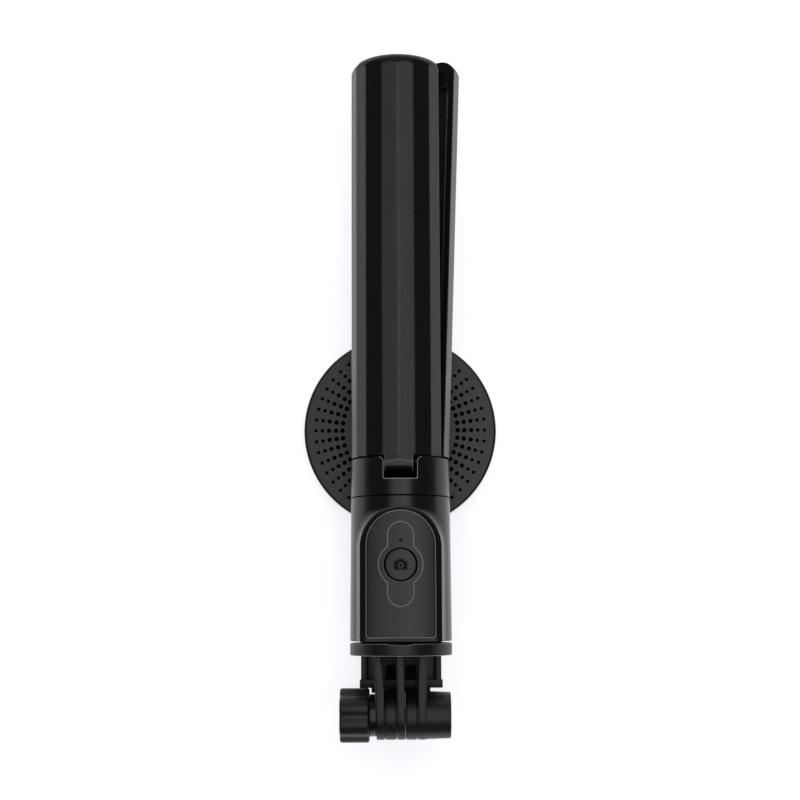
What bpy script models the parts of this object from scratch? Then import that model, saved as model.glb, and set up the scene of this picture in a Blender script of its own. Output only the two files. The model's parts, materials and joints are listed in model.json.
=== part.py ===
# A folding selfie stick: a telescopic pole inside a handle of three tripod legs, a detachable shutter
# remote, and a two-finger phone arm that folds back behind the handle with a round magnetic phone plate.
# It lies on the phone plate's face. +Y runs towards the legs' free ends, and +Z points up from the plate.
# Lengths are millimetres along and across the stick, counted from the seam between the leg collar and the
# handle body. The empty "stick" puts that seam in place, and MM turns them into metres.
from math import asin, cos, pi, radians, sin, tan

import bmesh
import bpy
from mathutils import Matrix, Vector

MM = 0.001
GAP = 0.3  # clearance between neighbouring pieces

AXIS_HEIGHT = 28.0  # stick's axis above the phone plate's face
PLATE_Y = 23.7  # centre of the phone plate

LEG_RADIUS = 15.6  # corners of the closed legs' 18-sided section
LEG_WALL = 1.8
LEG_START = 12.2
LEG_END = 141.8
LEG_END_ROUND = 5.2
LEG_END_WALL = 3.4
LEG_ANGLES = {"front": 0.0, "left": -120.0, "right": 120.0}
LEG_AJAR = {"front": 0.0, "left": 0.0, "right": 2.0}  # degrees open as it lies
FACET = radians(20)
WIDE_STEPS = 36  # sides of the handle's wide round shapes, two to each facet of the legs
ROUND_STEPS = 24  # sides of smaller round shapes
DISC_STEPS = 60
PIN_Y, PIN_Z = 10.5, 12.2
PIN_RADIUS, PIN_HALF, PIN_STEPS = 0.8, 7.0, 20
LUG_HALF = 4.4
BARREL_RADIUS = 2.9

COLLAR_TOP = 11.9
NOTCH_HALF, NOTCH_FLOOR, NOTCH_ROUND = 5.2, 5.2, 1.5

BODY_END = -44.7
BODY_END_RADIUS = 15.95
TUBE_RADIUS = 9.0  # the fixed outer tube; each section inside is SECTION_STEP less
TUBE_WALL = 0.5
SECTION_STEP = 0.85
SECTIONS = 5
TUBE_START = -44.0
TUBE_END = 131.0
BUSH_HALF = 3.0  # half of each end bush lies past its section's end

PAD_HALF, PAD_TOP_Y, PAD_HEIGHT = 12.6, -3.4, 16.3  # raised arch that the remote sits in
REMOTE_HALF, REMOTE_TOP_Y, REMOTE_BOTTOM_Y = 10.8, -4.5, -43.6
REMOTE_FACE, REMOTE_BACK = 16.2, 10.6
BUTTON_Y, BUTTON_RADIUS = -21.3, 5.0

FLANGE_START, FLANGE_END = -45.3, -49.1
PIVOT_Y = -67.6
FINGER_ROUND = 7.5
SCREW_RADIUS = 2.4

ARM_HALF = 12.9
ARM_BACK, ARM_FRONT = -19.7, -16.6
ARM_START = -59.8

PLATE_RADIUS = 31.75
PLATE_DEPTH = 8.0
STUD_RADIUS, STUD_HEAD_RADIUS = 2.5, 4.2

BLACK = (0.018, 0.018, 0.02)


def new_collection(name):
    made = bpy.data.collections.new(name)
    bpy.context.scene.collection.children.link(made)
    return made


for old in list(bpy.data.objects):
    bpy.data.objects.remove(old)
parts = new_collection("selfie_stick")
cutters = new_collection("cutters")

stick = bpy.data.objects.new("stick", None)
stick.location = (0, -PLATE_Y * MM, AXIS_HEIGHT * MM)
parts.objects.link(stick)


def material(name, colour, roughness, metallic=0.0):
    made = bpy.data.materials.new(name)
    made.use_nodes = True
    shader = made.node_tree.nodes["Principled BSDF"]
    shader.inputs["Base Color"].default_value = (*colour, 1)
    shader.inputs["Roughness"].default_value = roughness
    shader.inputs["Metallic"].default_value = metallic
    return made


satin_black = material("satin_black", BLACK, 0.38)
grained_black = material("grained_black", BLACK, 0.5)
rubber = material("rubber", (0.02, 0.02, 0.02), 0.8)
steel = material("steel", (0.55, 0.55, 0.56), 0.3, 1)
black_tube = material("black_tube", (0.03, 0.03, 0.032), 0.3, 1)
magnet = material("magnet", (0.45, 0.45, 0.47), 0.25, 1)
board_green = material("board_green", (0.02, 0.16, 0.06), 0.4)
clear_plastic = material("clear_plastic", (0.8, 0.8, 0.8), 0.1)


def evaluated_mesh(obj):
    bpy.context.view_layer.update()
    graph = bpy.context.evaluated_depsgraph_get()
    return bpy.data.meshes.new_from_object(obj.evaluated_get(graph))


def tidy(mesh, matrix=None):
    """Welds the seams, moves the mesh and turns its faces outwards."""
    work = bmesh.new()
    work.from_mesh(mesh)
    bmesh.ops.remove_doubles(work, verts=work.verts, dist=0.001 * MM)
    if matrix:
        bmesh.ops.transform(work, matrix=matrix, verts=work.verts)
    bmesh.ops.recalc_face_normals(work, faces=work.faces)
    work.to_mesh(mesh)
    work.free()
    return mesh


def add(name, mesh, look=None, collection=parts):
    obj = bpy.data.objects.new(name, mesh)
    collection.objects.link(obj)
    obj.parent = stick
    if look:
        mesh.materials.clear()
        mesh.materials.append(look)
    mesh.shade_smooth()
    mesh.set_sharp_from_angle(angle=radians(28))
    return obj


def origin_to(obj, x, y, z):
    """Puts the object's origin on its joint's axis without moving its shape."""
    point = Vector((x, y, z)) * MM
    obj.data.transform(Matrix.Translation(-point))
    obj.location = point
    return obj


def boolean(obj, tool, operation):
    for collection in list(tool.users_collection):
        collection.objects.unlink(tool)
    cutters.objects.link(tool)
    tool.hide_render = True
    tool.display_type = "WIRE"
    change = obj.modifiers.new(tool.name, "BOOLEAN")
    change.operation = operation
    change.object = tool
    return obj


def cut(obj, *tools):
    for tool in tools:
        boolean(obj, tool, "DIFFERENCE")
    return obj


def join(obj, *tools):
    for tool in tools:
        boolean(obj, tool, "UNION")
    return obj


def bake(obj):
    """The object's mesh with its modifiers applied; the object itself goes."""
    mesh = tidy(evaluated_mesh(obj))
    bpy.data.objects.remove(obj)
    return mesh


PLANES = {
    "XY": Matrix(((1, 0, 0, 0), (0, 1, 0, 0), (0, 0, 1, 0), (0, 0, 0, 1))),
    "YZ": Matrix(((0, 0, 1, 0), (1, 0, 0, 0), (0, 1, 0, 0), (0, 0, 0, 1))),
    "XZ": Matrix(((1, 0, 0, 0), (0, 0, 1, 0), (0, 1, 0, 0), (0, 0, 0, 1))),
}


def extruded(name, outline, low, high, plane="XY", look=None):
    """A flat outline in a plane, filled and extruded from low to high along the third axis."""
    curve = bpy.data.curves.new(name, "CURVE")
    curve.dimensions = "2D"
    curve.fill_mode = "BOTH"
    curve.extrude = (high - low) / 2 * MM
    spline = curve.splines.new("POLY")
    spline.points.add(len(outline) - 1)
    for point, (u, v) in zip(spline.points, outline):
        point.co = (u * MM, v * MM, 0, 1)
    spline.use_cyclic_u = True
    guide = bpy.data.objects.new(name, curve)
    cutters.objects.link(guide)
    mesh = evaluated_mesh(guide)
    bpy.data.objects.remove(guide)
    bpy.data.curves.remove(curve)
    middle = Matrix.Translation((0, 0, (low + high) / 2 * MM))
    return add(name, tidy(mesh, PLANES[plane] @ middle), look)


AXES = {
    "Y": Matrix(((1, 0, 0, 0), (0, 0, 1, 0), (0, -1, 0, 0), (0, 0, 0, 1))),
    "Z": Matrix.Identity(4),
    "X": Matrix(((0, 0, 1, 0), (0, 1, 0, 0), (-1, 0, 0, 0), (0, 0, 0, 1))),
}


def turned(name, profile, axis="Y", steps=ROUND_STEPS, centre=(0, 0, 0), look=None, ring=False):
    """A profile of (radius, height) points, top to bottom down its outer side, turned about an axis."""
    mesh = bpy.data.meshes.new(name)
    points = [(r * MM, 0, h * MM) for r, h in profile]
    edges = [(i, i + 1) for i in range(len(points) - 1)]
    if ring:
        edges.append((len(points) - 1, 0))
    mesh.from_pydata(points, edges, [])
    guide = bpy.data.objects.new(name, mesh)
    cutters.objects.link(guide)
    screw = guide.modifiers.new("turn", "SCREW")
    screw.steps = screw.render_steps = steps
    screw.use_merge_vertices = True
    screw.merge_threshold = 0.001 * MM
    made = evaluated_mesh(guide)
    bpy.data.objects.remove(guide)
    place = Matrix.Translation(Vector(centre) * MM)
    return add(name, tidy(made, place @ AXES[axis]), look)


def rod(name, radius, low, high, axis="Y", centre=(0, 0, 0), steps=ROUND_STEPS, look=None):
    profile = [(0, high), (radius, high), (radius, low), (0, low)]
    return turned(name, profile, axis, steps, centre, look)


def washer(name, outer, inner, low, high, axis="Y", centre=(0, 0, 0), steps=ROUND_STEPS, look=None):
    profile = [(outer, high), (outer, low), (inner, low), (inner, high)]
    return turned(name, profile, axis, steps, centre, look, ring=True)


def box(name, low, high, look=None):
    """A box between two opposite corners."""
    work = bmesh.new()
    bmesh.ops.create_cube(work, size=1)
    size = Vector(high) - Vector(low)
    middle = (Vector(high) + Vector(low)) / 2
    bmesh.ops.scale(work, vec=size * MM, verts=work.verts)
    bmesh.ops.translate(work, vec=middle * MM, verts=work.verts)
    mesh = bpy.data.meshes.new(name)
    work.to_mesh(mesh)
    work.free()
    return add(name, mesh, look)


def arc(cu, cv, radius, start, end, count):
    """Points of an arc; angles in degrees, from the first axis towards the second."""
    angles = [radians(start + (end - start) * i / count) for i in range(count + 1)]
    return [(cu + radius * cos(a), cv + radius * sin(a)) for a in angles]


def arch(half, top, bottom, corner=0.0, count=24):
    """An arch outline, round at the top, with small rounded corners at the bottom."""
    centre = top - half
    points = arc(0, centre, half, 0, 180, count)
    if corner:
        points += arc(-half + corner, bottom + corner, corner, 180, 270, 4)
        points += arc(half - corner, bottom + corner, corner, 270, 360, 4)
    else:
        points += [(-half, bottom), (half, bottom)]
    return points


def around(angle):
    """Turns about the stick's axis, so that +Z goes to this angle towards +X."""
    return Matrix.Rotation(radians(angle), 4, "Y")


# Legs -----------------------------------------------------------------------------------------------


def corner_ring(radius):
    """Corners of a leg's third of the 18-sided section as (x, z), its two ends drawn in by half the gap."""
    corners = [Vector((radius * sin(FACET * i), radius * cos(FACET * i))) for i in range(-3, 4)]
    share = GAP / 2 / (2 * radius * sin(FACET / 2))
    corners[0] = corners[0].lerp(corners[1], share)
    corners[-1] = corners[-1].lerp(corners[-2], share)
    return [tuple(c) for c in corners]


def pie(radius, inset, count=12):
    """A leg's third of a disc as (x, z), with its straight sides set in from the neighbours' plane."""
    spread = 60 - asin(inset / radius) * 180 / pi
    tip = inset / sin(radians(60))
    rim = arc(0, 0, radius, 90 + spread, 90 - spread, count)
    return [(0, tip), *rim]


def polygon(radius, corners):
    angles = [2 * pi * i / corners for i in range(corners)]
    return [(radius * sin(a), radius * cos(a)) for a in angles]


inner_radius = LEG_RADIUS - LEG_WALL / cos(FACET / 2)
WEDGE_TIP = 0.35
leg = extruded("leg_shape", corner_ring(LEG_RADIUS) + [(0, WEDGE_TIP)], LEG_START, LEG_END, "XZ")
cut(leg, extruded("leg_hollow", polygon(inner_radius, 18), LEG_START - 1, LEG_END - LEG_END_WALL, "XZ"))
# The lower edge is cut back at 45 degrees inside, which lets the leg swing past the collar's rim.
EDGE_RISE = 3.0
cut(leg, turned("leg_edge_cutter",
                [(0, LEG_START + EDGE_RISE), (LEG_RADIUS - EDGE_RISE, LEG_START + EDGE_RISE),
                 (LEG_RADIUS + 1, LEG_START - 1), (0, LEG_START - 1)], steps=WIDE_STEPS))
envelope_radius = LEG_RADIUS + 0.15
envelope_profile = [(0, LEG_END)]
envelope_profile += arc(envelope_radius - LEG_END_ROUND, LEG_END - LEG_END_ROUND, LEG_END_ROUND, 90, 0, 6)
envelope_profile += [(envelope_radius, 5), (0, 5)]
envelope = turned("leg_envelope", envelope_profile, steps=3 * WIDE_STEPS // 2)
facet_drop = LUG_HALF * tan(FACET / 2)
lug_crown = LEG_RADIUS - 0.03
lug_face = [(-LUG_HALF, 9.2), (-LUG_HALF, lug_crown - facet_drop), (0, lug_crown),
            (LUG_HALF, lug_crown - facet_drop), (LUG_HALF, 9.2)]
lug_side = [(18, 17), (12.7, 17), (9.3, 14.03), (PIN_Y, PIN_Z), (PIN_Y, 9.5), (18, 9.5)]
lug_section = extruded("lug_section", lug_face, 6, 18.5, "XZ")
lug = extruded("lug", lug_side, -LUG_HALF - 1, LUG_HALF + 1, "YZ")
join(lug, rod("lug_barrel", BARREL_RADIUS, -LUG_HALF - 1, LUG_HALF + 1, "X", (0, PIN_Y, PIN_Z)))
boolean(lug, lug_section, "INTERSECT")
FOOT_RADIUS, FOOT_INSET = 9.5, 1.6
foot_pocket = extruded("foot_pocket", pie(FOOT_RADIUS + GAP, FOOT_INSET - GAP), LEG_END - 1, LEG_END + 1, "XZ")
boolean(leg, envelope, "INTERSECT")
join(leg, lug)
cut(leg, rod("pin_hole", PIN_RADIUS + GAP, -6, 6, "X", (0, PIN_Y, PIN_Z), PIN_STEPS), foot_pocket)
leg_mesh = bake(leg)
foot_mesh = bake(extruded("foot_shape", pie(FOOT_RADIUS, FOOT_INSET), LEG_END - 0.7, LEG_END + 0.2, "XZ"))
pin_mesh = bake(rod("pin_shape", PIN_RADIUS, -PIN_HALF, PIN_HALF, "X", (0, PIN_Y, PIN_Z), PIN_STEPS))
pin_point = Vector((0, PIN_Y, PIN_Z)) * MM
for mesh in (leg_mesh, foot_mesh, pin_mesh):
    mesh.transform(Matrix.Translation(-pin_point))
for side, angle in LEG_ANGLES.items():
    opened = around(angle) @ Matrix.Translation(pin_point)
    tilted = opened @ Matrix.Rotation(radians(LEG_AJAR[side]), 4, "X")
    add("leg_" + side, leg_mesh.copy(), satin_black).matrix_local = tilted
    add("foot_pad_" + side, foot_mesh.copy(), rubber).matrix_local = tilted
    add("leg_pin_" + side, pin_mesh.copy(), steel).matrix_local = opened

# Leg collar -----------------------------------------------------------------------------------------

bore_radius = TUBE_RADIUS + GAP
collar = turned(
    "leg_collar",
    [(LEG_RADIUS - 0.3, COLLAR_TOP), (LEG_RADIUS, COLLAR_TOP - 0.3), (LEG_RADIUS, GAP / 2),
     (bore_radius, GAP / 2), (bore_radius, COLLAR_TOP)],
    steps=WIDE_STEPS, look=satin_black, ring=True,
)
notch = arc(NOTCH_HALF + NOTCH_ROUND, COLLAR_TOP - NOTCH_ROUND + 0.2, NOTCH_ROUND, 180, 90, 4)
notch = [(NOTCH_HALF, NOTCH_FLOOR), *notch, (NOTCH_HALF + NOTCH_ROUND, COLLAR_TOP + 1)]
notch += [(-x, y) for x, y in reversed(notch)]
for side, angle in LEG_ANGLES.items():
    slot = extruded("notch_" + side, notch, 7.0, LEG_RADIUS + 2)
    slot.matrix_local = around(angle)
    hole = rod("pin_bore_" + side, PIN_RADIUS + GAP, -PIN_HALF - GAP, PIN_HALF + GAP, "X",
               (0, PIN_Y, PIN_Z), PIN_STEPS)
    hole.matrix_local = around(angle)
    cut(collar, slot, hole)

# Handle body ----------------------------------------------------------------------------------------

body = turned(
    "handle_body",
    [(LEG_RADIUS, -GAP / 2), (BODY_END_RADIUS, BODY_END), (bore_radius, BODY_END),
     (bore_radius, -GAP / 2)],
    steps=WIDE_STEPS, look=satin_black, ring=True,
)
join(body, extruded("remote_arch", arch(PAD_HALF, PAD_TOP_Y, BODY_END), 9.5, PAD_HEIGHT))
cut(body, extruded("remote_pocket", arch(REMOTE_HALF + GAP, REMOTE_TOP_Y + GAP, BODY_END - 1),
                   REMOTE_BACK - GAP, PAD_HEIGHT + 1))

# Telescopic pole ------------------------------------------------------------------------------------

tube_profile = (TUBE_RADIUS, TUBE_RADIUS - TUBE_WALL)
washer("outer_tube", *tube_profile, TUBE_START, TUBE_END, look=black_tube)
cap_spigot = TUBE_RADIUS - TUBE_WALL - GAP
turned("tube_cap", [(0, TUBE_END + 3), (TUBE_RADIUS - 0.5, TUBE_END + 3), (TUBE_RADIUS, TUBE_END + 2.5),
                    (TUBE_RADIUS, TUBE_END + GAP), (cap_spigot, TUBE_END + GAP),
                    (cap_spigot, TUBE_END - 1.6), (0, TUBE_END - 1.6)], look=satin_black)
section_end = TUBE_END - 2 - GAP - BUSH_HALF
for number in range(1, SECTIONS + 1):
    radius = TUBE_RADIUS - SECTION_STEP * number
    bore = radius - TUBE_WALL
    start = TUBE_START - GAP if number < SECTIONS else FLANGE_END + 1.6
    washer(f"pole_section_{number}", radius, bore, start, section_end, look=black_tube)
    rim = section_end + GAP
    turned(f"section_bush_{number}",
           [(radius, rim + BUSH_HALF - GAP), (radius, rim), (bore - GAP, rim),
            (bore - GAP, section_end - BUSH_HALF), (bore - 1.2, section_end - BUSH_HALF),
            (bore - 1.2, rim + BUSH_HALF - GAP)],
           look=satin_black, ring=True)
    section_end -= 2 * BUSH_HALF + GAP + 0.2
last_radius = TUBE_RADIUS - SECTION_STEP * SECTIONS

# Remote ---------------------------------------------------------------------------------------------

tray_top = 13.0
tray_floor = 11.6
skin = 1.0
button_spot, light_spot, cell_spot = (0, BUTTON_Y, 0), (0, -13.9, 0), (0, -35.4, 0)


def remote_outline(inset, corner):
    return arch(REMOTE_HALF - inset, REMOTE_TOP_Y - inset, REMOTE_BOTTOM_Y + inset, corner)


tray = extruded("remote_tray", remote_outline(0, 1.2), REMOTE_BACK, tray_top - GAP / 2, look=satin_black)
cut(tray, extruded("tray_hollow", remote_outline(skin, 0.8), tray_floor, tray_top + 1))
cover = extruded("remote_cover", remote_outline(0, 1.2), tray_top + GAP / 2, REMOTE_FACE, look=satin_black)
cut(cover,
    extruded("cover_hollow", remote_outline(skin, 0.8), tray_top - 1, REMOTE_FACE - skin),
    rod("button_hole", BUTTON_RADIUS + GAP, REMOTE_FACE - 3, REMOTE_FACE + 1, "Z", button_spot),
    rod("light_hole", 0.75, REMOTE_FACE - 3, REMOTE_FACE + 1, "Z", light_spot, 16))
button = turned("shutter_button",
                [(0, REMOTE_FACE - 0.1), (BUTTON_RADIUS - 0.3, REMOTE_FACE - 0.1),
                 (BUTTON_RADIUS, REMOTE_FACE - 0.4), (BUTTON_RADIUS, REMOTE_FACE - 1.3),
                 (BUTTON_RADIUS + 0.9, REMOTE_FACE - 1.3), (BUTTON_RADIUS + 0.9, REMOTE_FACE - 1.7),
                 (1.2, REMOTE_FACE - 1.7), (1.2, REMOTE_FACE - 1.9), (0, REMOTE_FACE - 1.9)],
                "Z", centre=button_spot, look=satin_black)
origin_to(button, 0, BUTTON_Y, REMOTE_FACE)
board_top = tray_floor + GAP + 0.8
board = extruded("circuit_board", arch(REMOTE_HALF - skin - 0.5, REMOTE_TOP_Y - skin - 0.5, -28.0, 0.8),
                 tray_floor + GAP, board_top, look=board_green)
dome_profile = [(0, board_top + 1.2), (1.2, board_top + 1.1), (2.6, board_top + GAP), (0, board_top + GAP)]
turned("dome_switch", dome_profile, "Z", centre=button_spot, look=steel)
turned("light_pipe", [(0, REMOTE_FACE - 0.15), (0.45, REMOTE_FACE - 0.15), (0.45, REMOTE_FACE - 1.4),
                      (1.4, REMOTE_FACE - 1.4), (1.4, board_top + GAP), (0, board_top + GAP)],
       "Z", 16, light_spot, clear_plastic)
rod("coin_cell", 6.25, tray_floor + GAP, tray_floor + GAP + 2.0, "Z", cell_spot, look=steel)

# Head: flange, three fingers and the nut boss ---------------------------------------------------------

flange = turned("head_flange", [(0, FLANGE_START), (BODY_END_RADIUS, FLANGE_START),
                                (BODY_END_RADIUS, FLANGE_END), (0, FLANGE_END)], steps=60,
                look=grained_black)
finger = [(FLANGE_END + 0.5, -FINGER_ROUND), *arc(PIVOT_Y, 0, FINGER_ROUND, 270, 90, 16),
          (FLANGE_END + 0.5, FINGER_ROUND)]
head_fingers = {"finger_left": (-7.7, -5.2), "finger_middle": (-1.2, 1.2), "finger_right": (5.2, 7.7)}
for name, (low, high) in head_fingers.items():
    join(flange, extruded(name, finger, low, high, "YZ"))
pivot = (0, PIVOT_Y, 0)
boss_profile = [(0, 15.4), (6.9, 15.4), (7.15, 15.15), (7.35, 6.6), (0, 6.6)]
join(flange, turned("nut_boss", boss_profile, "X", 32, pivot))


def hexagon(radius):
    """Corners of a hexagon round the pivot as (y, z)."""
    return [(PIVOT_Y + radius * cos(radians(60 * i)), radius * sin(radians(60 * i))) for i in range(6)]


NUT_RADIUS = 4.6
cut(flange,
    rod("screw_bore", SCREW_RADIUS + GAP, -12, 16, "X", pivot, 26),
    extruded("nut_pocket", hexagon(NUT_RADIUS + 0.35), 10.5, 16, "YZ"),
    rod("tube_socket", last_radius + GAP, FLANGE_END + 1.3, FLANGE_START + 1),
    extruded("thumb_scoop", [(-45.2, 14.2), (-46.3, 16.4), (-45.2, 18)], -12, 12, "YZ"))
nut = extruded("lock_nut", hexagon(NUT_RADIUS), 10.8, 14.6, "YZ", look=steel)
cut(nut, rod("nut_bore", SCREW_RADIUS + GAP, 10, 16, "X", pivot))

# Clamp screw with its star knob -----------------------------------------------------------------------

screw = turned("clamp_screw", [(0, 13.6), (SCREW_RADIUS - 0.4, 13.6), (SCREW_RADIUS, 13.2),
                               (SCREW_RADIUS, -16.2), (4.2, -16.2), (4.2, -18.2), (0, -18.2)],
               "X", look=steel)
screw.location = (0, PIVOT_Y * MM, 0)
LOBES, LOBE_POINTS = 6, 10
KNOB_RADIUS, GROOVE_DEPTH = 8.35, 1.1
knob_outline = []
for i in range(LOBES * LOBE_POINTS):
    turn = 2 * pi * i / (LOBES * LOBE_POINTS)
    reach = KNOB_RADIUS - GROOVE_DEPTH * ((1 + cos(LOBES * turn)) / 2) ** 2
    knob_outline.append((reach * sin(turn), reach * cos(turn)))
knob = extruded("thumb_knob", knob_outline, -19.1, -9.9, "YZ", look=satin_black)
knob.location = (0, PIVOT_Y * MM, 0)
cut(knob,
    rod("knob_head_recess", 4.5, -20, -15.9, "X", pivot),
    rod("knob_bore", SCREW_RADIUS + GAP, -17, -9, "X", pivot))
spacer = washer("knob_washer", 6.7, SCREW_RADIUS + GAP, -9.6, -8.0, "X", steps=32, look=steel)
spacer.location = (0, PIVOT_Y * MM, 0)

# Phone arm ------------------------------------------------------------------------------------------

arm_outline = [(ARM_HALF, ARM_START), *arc(0, PLATE_Y, ARM_HALF, 0, 180, 24), (-ARM_HALF, ARM_START)]
arm = extruded("phone_arm", arm_outline, ARM_BACK, ARM_FRONT, look=grained_black)
rim_inner, rim_top, rim_end = 10.9, -13.2, 8.0
for side in (-1, 1):
    low, high = sorted((side * rim_inner, side * (ARM_HALF - 0.05)))
    join(arm, box(f"arm_rim_{side + 1}", (low, ARM_START + 0.5, ARM_FRONT - 1), (high, rim_end, rim_top)))
foot_half = ARM_HALF + 0.4
join(arm, box("arm_foot", (-foot_half, ARM_START - 0.1, ARM_BACK + 0.3),
              (foot_half, ARM_START + 2.4, rim_top + 0.2)))
knuckle_y, knuckle_z, knuckle_round = PIVOT_Y + 2.0, ARM_BACK + 6.5, 6.4
arm_finger = [(PIVOT_Y + FINGER_ROUND, 0), *arc(PIVOT_Y, 0, FINGER_ROUND, 0, 180, 16)[1:],
              *arc(knuckle_y, knuckle_z, knuckle_round, 180, 270, 6),
              (ARM_START + 8, ARM_BACK + 0.2), (ARM_START + 8, ARM_FRONT - 0.4),
              (PIVOT_Y + FINGER_ROUND, ARM_FRONT + 3)]
for name, low, high in (("arm_finger_left", -4.85, -1.55), ("arm_finger_right", 1.55, 4.85)):
    join(arm, extruded(name, arm_finger, low, high, "YZ"))
swivel = (0, PLATE_Y, 0)
cut(arm,
    rod("arm_bore", SCREW_RADIUS + GAP, -6, 6, "X", pivot),
    rod("stud_head_pocket", STUD_HEAD_RADIUS + GAP, ARM_FRONT - 1.6, ARM_FRONT + 1, "Z", swivel),
    rod("stud_bore", STUD_RADIUS + GAP, ARM_BACK - 1, ARM_FRONT, "Z", swivel),
    washer("washer_pocket", 8.3, 4.0, ARM_BACK - 1, ARM_BACK + 0.6, "Z", swivel))
origin_to(arm, *pivot)

# Magnetic phone plate -------------------------------------------------------------------------------


def disc_z(height):
    """Height above the plate's face as a height from the stick's axis."""
    return height - AXIS_HEIGHT


arm_washer = washer("swivel_washer", 8.0, 4.3, ARM_BACK, ARM_BACK + GAP, "Z", swivel, look=steel)
stud = turned("swivel_stud",
              [(0, ARM_FRONT - 0.2), (STUD_HEAD_RADIUS, ARM_FRONT - 0.2),
               (STUD_HEAD_RADIUS, ARM_FRONT - 1.3), (STUD_RADIUS, ARM_FRONT - 1.3),
               (STUD_RADIUS, disc_z(3.3)), (0, disc_z(3.3))],
              "Z", centre=swivel, look=steel)
RIM_WALL, FACE_EDGE = 1.8, 0.6
HUB_RADIUS = 2.8
cover = turned("plate_cover",
               [(HUB_RADIUS, disc_z(PLATE_DEPTH)), (PLATE_RADIUS - FACE_EDGE, disc_z(PLATE_DEPTH)),
                (PLATE_RADIUS, disc_z(PLATE_DEPTH - FACE_EDGE)), (PLATE_RADIUS, disc_z(1.2)),
                (PLATE_RADIUS - 0.5, disc_z(0.7)), (PLATE_RADIUS - RIM_WALL, disc_z(0.7)),
                (PLATE_RADIUS - RIM_WALL, disc_z(6.5)), (HUB_RADIUS, disc_z(6.5))],
               "Z", DISC_STEPS, swivel, satin_black, ring=True)
base = turned("plate_base",
              [(0, disc_z(2.9)), (HUB_RADIUS, disc_z(2.9)), (HUB_RADIUS, disc_z(5.9)),
               (5.2, disc_z(5.9)), (5.2, disc_z(2.6)), (29.6, disc_z(2.6)),
               (29.6, disc_z(1.5)), (0, disc_z(1.5))],
              "Z", WIDE_STEPS, swivel, satin_black)
magnets = washer("magnet_ring", 28.0, 21.5, disc_z(2.9), disc_z(5.0), "Z", swivel, WIDE_STEPS, magnet)
shunt = washer("shunt_ring", 28.8, 20.6, disc_z(5.3), disc_z(6.2), "Z", swivel, WIDE_STEPS, steel)
pad = turned("phone_pad",
             [(0, disc_z(1.2)), (29.4, disc_z(1.2)), (29.4, disc_z(0.4)),
              (29.0, disc_z(0)), (0, disc_z(0))],
             "Z", DISC_STEPS, swivel, rubber)
for piece in (arm_washer, stud, cover, base, magnets, shunt, pad):
    origin_to(piece, *swivel)
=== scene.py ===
# A folded selfie stick in satin black plastic, shown lying on its phone plate on a white table.
# Shapes are worked out in millimetres from the stick's seam: +x to the right, +y along the legs,
# +z out of the remote's face. stickPlace turns them into the frame's metres.
import json
from math import acos, asin, cos, degrees, hypot, pi, radians, sin, sqrt, tan

import bmesh
import bpy
from mathutils import Matrix, Vector


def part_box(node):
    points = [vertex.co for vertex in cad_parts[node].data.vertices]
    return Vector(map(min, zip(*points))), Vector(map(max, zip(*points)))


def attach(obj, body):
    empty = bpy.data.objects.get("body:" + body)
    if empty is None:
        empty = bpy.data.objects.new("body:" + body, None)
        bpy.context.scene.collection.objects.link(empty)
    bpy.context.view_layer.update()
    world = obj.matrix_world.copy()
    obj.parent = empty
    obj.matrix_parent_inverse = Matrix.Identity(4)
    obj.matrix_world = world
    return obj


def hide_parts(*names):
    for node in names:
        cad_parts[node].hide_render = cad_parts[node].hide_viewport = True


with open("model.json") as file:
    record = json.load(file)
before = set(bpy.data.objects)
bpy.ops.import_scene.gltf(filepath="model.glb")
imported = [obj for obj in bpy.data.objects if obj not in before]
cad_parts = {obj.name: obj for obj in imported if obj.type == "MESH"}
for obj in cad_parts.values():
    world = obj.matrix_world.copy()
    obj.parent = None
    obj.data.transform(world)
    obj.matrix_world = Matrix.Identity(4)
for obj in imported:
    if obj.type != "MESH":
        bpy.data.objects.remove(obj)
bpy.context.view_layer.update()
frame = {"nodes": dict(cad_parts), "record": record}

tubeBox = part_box("outer_tube")
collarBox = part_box("leg_collar")
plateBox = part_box("plate_cover")
perMetre = 1000  # millimetres
gap = 0.3  # left between neighbouring pieces
weldDistance = 0.0005
axisHeight = (tubeBox[0][2] + tubeBox[1][2]) / 2
seamY = collarBox[0][1] - gap / 2 / perMetre
stickPlace = Matrix.Translation((0, seamY, axisHeight)) @ Matrix.Scale(1 / perMetre, 4)
plateY = ((plateBox[0][1] + plateBox[1][1]) / 2 - seamY) * perMetre
floorZ = -axisHeight * perMetre
print("frame read, seam at", round(seamY, 4))


# mesh making, in millimetres

def newMesh(points, faces):
    mesh = bpy.data.meshes.new("shape")
    mesh.from_pydata(points, [], faces)
    return cleaned(mesh)


def cleaned(mesh, matrix=None):
    # welds what touches and turns the faces out
    work = bmesh.new()
    work.from_mesh(mesh)
    bmesh.ops.remove_doubles(work, verts=work.verts, dist=weldDistance)
    if matrix:
        bmesh.ops.transform(work, matrix=matrix, verts=work.verts)
    bmesh.ops.recalc_face_normals(work, faces=work.faces)
    work.to_mesh(mesh)
    work.free()
    return mesh


def joined(*meshes):
    work = bmesh.new()
    for mesh in meshes:
        work.from_mesh(mesh)
    whole = bpy.data.meshes.new("shape")
    work.to_mesh(whole)
    work.free()
    return whole


def moved(mesh, matrix):
    mesh.transform(matrix)
    return mesh


def applied(mesh, modify):
    # the mesh after the modifiers that modify() adds to a passing object
    guide = bpy.data.objects.new("guide", mesh)
    bpy.context.scene.collection.objects.link(guide)
    modify(guide)
    bpy.context.view_layer.update()
    graph = bpy.context.evaluated_depsgraph_get()
    made = bpy.data.meshes.new_from_object(guide.evaluated_get(graph))
    bpy.data.objects.remove(guide)
    return cleaned(made)


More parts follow.
